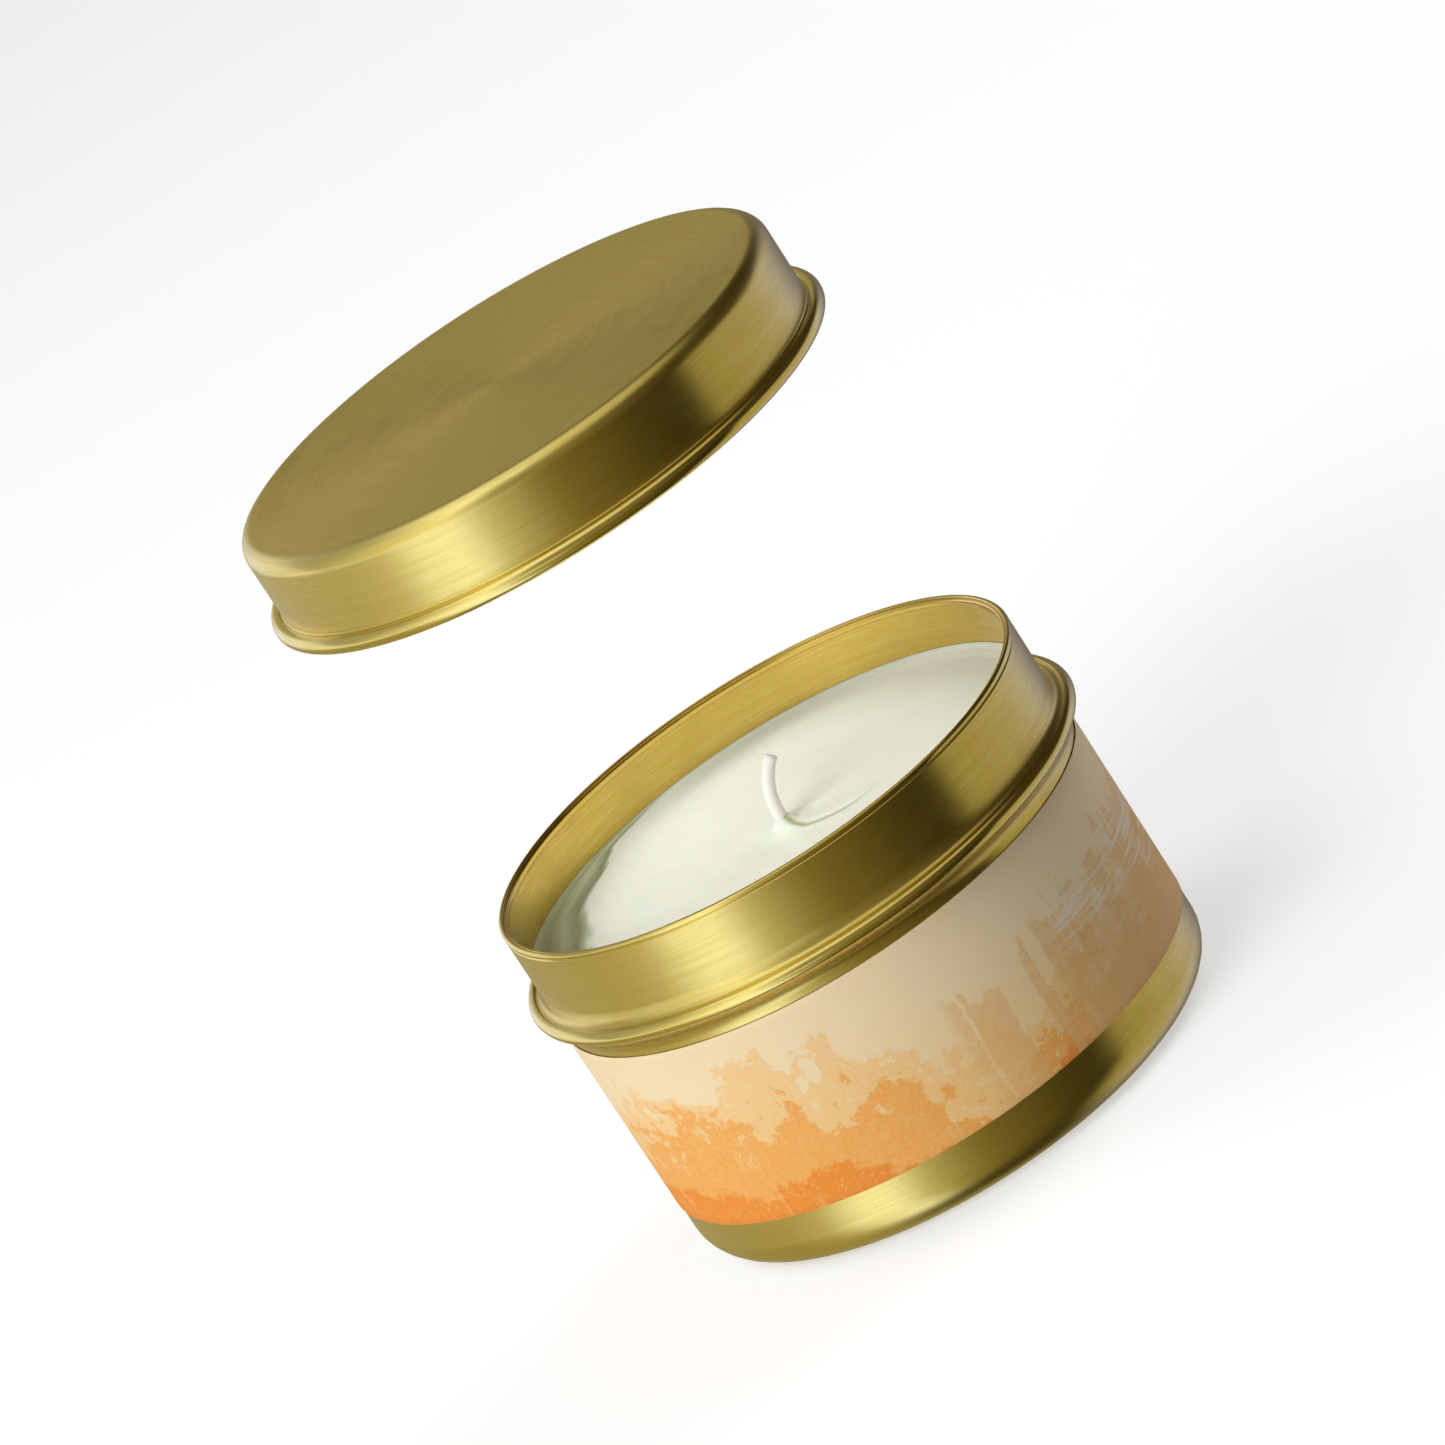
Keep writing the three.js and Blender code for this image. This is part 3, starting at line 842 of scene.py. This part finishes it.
class CANDLETIN_OT_candle(bpy.types.Operator):
    """Build the poured wax and the wick, and finish the sustainer and its sticker"""

    bl_idname = "candle_tin.candle"
    bl_label = "Candle"

    def execute(self, context):
        sizes = context.scene.candle_tin_sizes
        self.pour_wax(sizes)
        self.set_wick(sizes)
        hidden = {
            "wick_sustainer": ("Plain tinplate", plain_tinplate),
            "wick_sticker": ("Sticker foam", sticker_foam),
        }
        for node, (name, maker) in hidden.items():
            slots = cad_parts[node].material_slots
            for slot in slots:
                slot.material = finish_of(name, maker)
        return {"FINISHED"}

    def pour_wax(self, sizes):
        wall = sizes.wall_radius - sizes.sheet - 0.05 * MM
        bead = sizes.bead_radius - sizes.sheet - 0.06 * MM
        shelf = sizes.shelf_height
        level = WAX_BOX[1].z
        flat = level - 1.3 * MM
        foot = WAX_BOX[0].z
        pocket = 8.1 * MM
        panel = 1.15 * MM
        wick = sizes.wick_radius
        buried = [
            (1.3 * MM, 6.9 * MM, 0),
            (1.3 * MM, 1.9 * MM, 0),
            (pocket, 1.9 * MM, 0),
            (pocket, panel, 0),
            (28.9 * MM, panel, 0.3 * MM),
            (29.7 * MM, foot, 0.3 * MM),
            (wall, foot, sizes.base_corner - sizes.sheet - 0.05 * MM),
            (wall, shelf - 3.8 * MM, 2.2 * MM),
            (bead, shelf - 1.64 * MM, 0.6 * MM),
            (bead, shelf - 0.95 * MM, 0.55 * MM),
            (wall, shelf - 0.5 * MM, 0.2 * MM),
        ]
        surface = [
            (wall, level - 0.3 * MM, 0.03 * MM),
            (wall - 0.9 * MM, level - 0.66 * MM, 1.2 * MM),
            (wall - 2.4 * MM, level - 0.92 * MM, 3 * MM),
            (wall - 8.0 * MM, flat, 30 * MM),
            (4.2 * MM, flat, 4 * MM),
            (wick + 1.0 * MM, flat + 0.42 * MM, 1.2 * MM),
            (wick + 0.08 * MM, flat + 1.5 * MM, 0.05 * MM),
            (wick + 0.02 * MM, flat + 1.45 * MM, 0),
            (wick + 0.02 * MM, 7.0 * MM, 0),
        ]
        bm = bmesh.new()
        rounded_line(bm, buried + surface, closed=True)
        long_top = [
            edge
            for edge in bm.edges
            if min(vert.co.z for vert in edge.verts) > flat - 0.1 * MM and edge.calc_length() > 4 * MM
        ]
        bmesh.ops.subdivide_edges(bm, edges=long_top, cuts=40)
        turn_line(bm, sizes.turn_steps)
        for vert in bm.verts:
            if vert.co.z > flat - 0.01 * MM:
                self.settle(vert.co, wall)
        bmesh.ops.recalc_face_normals(bm, faces=bm.faces[:])
        material = finish_of("Candle wax", candle_wax)
        finished(bm, "wax_pool", material, "tin", "wax_fill")

    @staticmethod
    def settle(place, wall):
        """Lets the top of the wax sink and swell a little, with a shallow crease from the wick to the front."""
        radius = math.hypot(place.x, place.y)
        from_wall = min(1.0, max(0.0, (wall - radius) / (3 * MM)))
        from_wick = min(1.0, max(0.0, (radius - 1.6 * MM) / (3 * MM)))
        swell = noise.noise(Vector((place.x, place.y, 0)) * 90) * 0.16 * MM
        swell += noise.noise(Vector((place.x, place.y, 0.3)) * 310) * 0.05 * MM
        centre = Vector((CREASE_X, CREASE_Y))
        from_arc = abs((place.xy - centre).length - CREASE_RADIUS)
        bearing = math.degrees(math.atan2(place.y - centre.y, place.x - centre.x))
        along = max(0.0, 1 - abs(bearing + 120) / 52)
        crease = -0.28 * MM * math.exp(-((from_arc / (0.55 * MM)) ** 2)) * min(1.0, 2 * along)
        place.z += from_wall * from_wick * (swell + crease)

    def set_wick(self, sizes):
        foot = 1.5 * MM
        bend = WAX_BOX[1].z + 0.1 * MM
        tip = WICK_BOX[1].z - 0.665 * MM  # the leaning end's edge reaches higher than its middle
        lean = sizes.wick_lean
        rise = tip - bend
        curve = bpy.data.curves.new("wick_route", "CURVE")
        curve.dimensions = "3D"
        curve.resolution_u = 28
        curve.bevel_depth = sizes.wick_radius
        curve.bevel_resolution = 7
        curve.use_fill_caps = True
        spline = curve.splines.new("BEZIER")
        spline.bezier_points.add(3)
        stations = (
            ((0, 0, foot), (0, 0, foot), (0, 0, 10 * MM), 1.0),
            ((0, 0, 40 * MM), (0, 0, 36 * MM), (0, 0, 42 * MM), 1.0),
            ((0, 0, bend), (0, 0, bend - 2 * MM), (0, 0, bend + 0.4 * rise), 1.02),
            ((lean, 0, tip), (0.35 * lean, 0, bend + 0.75 * rise), (lean * 1.4, 0, tip + 0.8 * MM), 0.94),
        )
        for point, (place, before, after, swell) in zip(spline.bezier_points, stations):
            point.handle_left_type = point.handle_right_type = "FREE"
            point.co, point.handle_left, point.handle_right, point.radius = place, before, after, swell
        holder = bpy.data.objects.new("wick_route", curve)
        bpy.context.scene.collection.objects.link(holder)
        made = bpy.data.meshes.new_from_object(holder.evaluated_get(bpy.context.evaluated_depsgraph_get()))
        bpy.data.objects.remove(holder)
        bm = bmesh.new()
        bm.from_mesh(made)
        bmesh.ops.remove_doubles(bm, verts=bm.verts[:], dist=MERGE_DISTANCE)
        ends = [face for face in bm.faces if len(face.verts) > 4]
        rims = list({edge for face in ends for edge in face.edges})
        bmesh.ops.bevel(
            bm,
            geom=rims,
            offset=0.16 * MM,
            offset_type="OFFSET",
            affect="EDGES",
            segments=3,
            profile=0.5,
            material=-1,
        )
        bmesh.ops.recalc_face_normals(bm, faces=bm.faces[:])
        material = finish_of("Waxed cotton", waxed_cotton)
        finished(bm, "wick_stem", material, "tin", "wick")


class CANDLETIN_OT_stage(bpy.types.Operator):
    """Set up the floor, the soft studio light and the camera"""

    bl_idname = "candle_tin.stage"
    bl_label = "Stage"

    def execute(self, context):
        scene = context.scene
        studio = scene.candle_tin_studio
        self.lay_floor(scene)
        self.light_studio(scene, studio)
        self.place_camera(scene, studio)
        scene.view_settings.view_transform = "Standard"
        return {"FINISHED"}

    def lay_floor(self, scene):
        """A plain pale floor, which the metal and the lit surfaces don't see."""
        bm = bmesh.new()
        bmesh.ops.create_grid(bm, x_segments=2, y_segments=2, size=12)
        mesh = bpy.data.meshes.new("studio_floor")
        bm.to_mesh(mesh)
        bm.free()
        floor = bpy.data.objects.new("studio_floor", mesh)
        scene.collection.objects.link(floor)
        pale, glow = scene.candle_tin_colours.floor[:], 0.55
        material = new_material(
            "Studio floor",
            Roughness=0.9,
            Specular_IOR_Level=0.1,
            Base_Color=[(1 - glow) * part for part in pale],
            Emission_Color=pale,
            Emission_Strength=glow,
        )[0]
        mesh.materials.append(material)
        floor.visible_glossy = False
        floor.visible_diffuse = False

    # Name, bearing from the front and height in degrees, width in metres, and power over that of its setting.
    KEY_LAMP = ("key", -43, 35, 1.0, 1.0)
    BACK_LAMPS = (("side_left", -120, 50, 0.8, 1.3), ("back_right", 112, 44, 0.9, 1.5))

    def light_studio(self, scene, studio):
        self.hang_lamp(scene, studio.key_power, *self.KEY_LAMP)
        for lamp in self.BACK_LAMPS:
            self.hang_lamp(scene, studio.back_power, *lamp)

        world = bpy.data.worlds.new("studio")
        scene.world = world
        world.use_nodes = True
        graph = Graph(world.node_tree)
        background = world.node_tree.nodes["Background"]
        heading = graph.add("ShaderNodeTexCoord").outputs["Generated"]
        x, y, z = graph.parts(heading)
        turn = graph.math("ARCTAN2", x, graph.math("MULTIPLY", y, -1.0))
        turn = graph.math("MULTIPLY_ADD", turn, 1 / (2 * math.pi), 0.5)
        low = graph.ramp(turn, self.around_stops(self.LOW_STOPS))
        high = graph.ramp(turn, self.around_stops(self.HIGH_STOPS))
        # The row of the low stops ends higher at the back than in front, and a pale glow lies over it on the left.
        behind = graph.mix_value(graph.smooth(x, 0.08, 0.22), 0.38, 0.2)
        horizon = graph.mix_value(graph.smooth(y, 0.2, 0.8), -0.08, behind)
        above = graph.smooth(graph.math("SUBTRACT", z, horizon), 0.0, 0.16)
        glow = graph.product(graph.smooth(z, -0.3, -0.1), graph.smooth(x, -0.05, -0.4))
        low = graph.mix(graph.product(glow, 0.55), low, (1.5, 1.6, 2.1))
        ceiling = graph.mix(graph.smooth(x, -0.6, 0.6), *self.CEILING)
        glossy = graph.mix(graph.smooth(z, 0.76, 0.92), graph.mix(above, low, high), ceiling)
        glossy = graph.mix(graph.smooth(z, -0.85, -0.98), glossy, self.UNDERFOOT)
        soft = graph.product(graph.mix_value(graph.smooth(x, -0.9, 0.9), 1.0, 0.55), studio.fill)
        rays = graph.add("ShaderNodeLightPath").outputs
        colour_now = graph.mix(rays["Is Glossy Ray"], soft, glossy)
        colour_now = graph.mix(rays["Is Camera Ray"], colour_now, scene.candle_tin_colours.floor[:])
        graph.feed(background.inputs["Color"], colour_now)

    @staticmethod
    def hang_lamp(scene, power, name, bearing, height, size, share):
        """A round soft light, LAMP_DISTANCE from the tin, that the metal doesn't see."""
        data = bpy.data.lights.new(name, "AREA")
        data.shape = "DISK"
        data.size = size
        data.energy = share * power
        lamp = bpy.data.objects.new(name, data)
        scene.collection.objects.link(lamp)
        bearing, height = math.radians(bearing), math.radians(height)
        flat = Vector((math.sin(bearing), -math.cos(bearing), 0)) * math.cos(height)
        lamp.location = LAMP_AIM + (flat + Vector((0, 0, math.sin(height)))) * LAMP_DISTANCE
        lamp.rotation_mode = "QUATERNION"
        lamp.rotation_quaternion = (LAMP_AIM - lamp.location).to_track_quat("-Z", "Y")
        lamp.visible_glossy = False

    # What the metal sees round about, by bearing from the front. Low down: a softbox on the left, a dark flag
    # in front on the right, and a pale panel behind that. Higher up: the softbox's top and a pale wall on the
    # left, and flags on the right. Overhead: a ceiling, brighter on the left. Underfoot: the tin's own shade.
    CEILING = ((1.35, 1.42, 1.7), (0.62, 0.55, 0.40))
    UNDERFOOT = (0.05, 0.04, 0.015)
    LOW_STOPS = (
        (-180, (0.42, 0.37, 0.20)),
        (-98, (0.41, 0.36, 0.18)),
        (-76, (0.55, 0.50, 0.31)),
        (-62, (1.25, 1.34, 1.75)),
        (-44, (1.36, 1.50, 2.10)),
        (-32, (0.60, 0.57, 0.42)),
        (-20, (0.36, 0.31, 0.14)),
        (0, (0.21, 0.17, 0.07)),
        (34, (0.075, 0.060, 0.020)),
        (61, (0.01, 0.008, 0.003)),
        (66, (0.46, 0.42, 0.25)),
        (108, (0.53, 0.48, 0.46)),
        (132, (0.60, 0.60, 0.85)),
        (148, (0.34, 0.34, 0.46)),
        (162, (0.16, 0.16, 0.18)),
        (172, (0.24, 0.21, 0.13)),
        (180, (0.42, 0.37, 0.20)),
    )
    HIGH_STOPS = (
        (-180, (0.16, 0.14, 0.09)),
        (-166, (0.32, 0.31, 0.28)),
        (-148, (0.46, 0.47, 0.50)),
        (-110, (0.48, 0.48, 0.46)),
        (-78, (0.85, 0.82, 0.75)),
        (-48, (1.40, 1.42, 1.50)),
        (-26, (0.38, 0.35, 0.24)),
        (0, (0.30, 0.26, 0.15)),
        (30, (0.16, 0.13, 0.07)),
        (50, (0.07, 0.055, 0.025)),
        (120, (0.05, 0.04, 0.02)),
        (155, (0.04, 0.03, 0.015)),
        (168, (0.10, 0.08, 0.05)),
        (180, (0.16, 0.14, 0.09)),
    )

    @staticmethod
    def around_stops(stops):
        """Bearings in degrees made places on a ramp that runs once round."""
        return tuple(((degrees + 180) / 360, shade) for degrees, shade in stops)

    def place_camera(self, scene, studio):
        data = bpy.data.cameras.new("camera")
        data.sensor_width = 36
        data.lens = studio.lens
        camera = bpy.data.objects.new("camera", data)
        scene.collection.objects.link(camera)
        back = Vector((0, -math.cos(studio.elevation), math.sin(studio.elevation)))
        facing = (-back).to_track_quat("-Z", "Y").to_matrix().to_4x4()
        place = Vector((0.0003, 0, studio.aim_height)) + back * studio.distance
        camera.matrix_world = Matrix.Translation(place) @ facing @ Matrix.Rotation(studio.roll, 4, "Z")
        scene.camera = camera


class CANDLETIN_PT_panel(bpy.types.Panel):
    """Lists the pieces and their settings"""

    bl_label = "Candle tin"
    bl_idname = "CANDLETIN_PT_panel"
    bl_space_type = "VIEW_3D"
    bl_region_type = "UI"
    bl_category = "Candle tin"

    def draw(self, context):
        layout = self.layout
        for operator in OPERATORS:
            layout.operator(operator.bl_idname)
        for group in ("sizes", "colours", "studio"):
            settings = getattr(context.scene, "candle_tin_" + group)
            box = layout.box()
            for name in settings.bl_rna.properties.keys():
                if name not in {"rna_type", "name"}:
                    box.prop(settings, name)


OPERATORS = (
    CANDLETIN_OT_can,
    CANDLETIN_OT_lid,
    CANDLETIN_OT_label,
    CANDLETIN_OT_candle,
    CANDLETIN_OT_stage,
)
CLASSES = (CandleTinSizes, CandleTinColours, CandleTinStudio, *OPERATORS, CANDLETIN_PT_panel)


def register():
    for cls in CLASSES:
        bpy.utils.register_class(cls)
    bpy.types.Scene.candle_tin_sizes = PointerProperty(type=CandleTinSizes)
    bpy.types.Scene.candle_tin_colours = PointerProperty(type=CandleTinColours)
    bpy.types.Scene.candle_tin_studio = PointerProperty(type=CandleTinStudio)


def unregister():
    del bpy.types.Scene.candle_tin_studio
    del bpy.types.Scene.candle_tin_colours
    del bpy.types.Scene.candle_tin_sizes
    for cls in reversed(CLASSES):
        bpy.utils.unregister_class(cls)


def main():
    register()
    bpy.ops.candle_tin.stage()
    bpy.ops.candle_tin.can()
    bpy.ops.candle_tin.lid()
    bpy.ops.candle_tin.label()
    bpy.ops.candle_tin.candle()


if __name__ == "__main__":
    main()
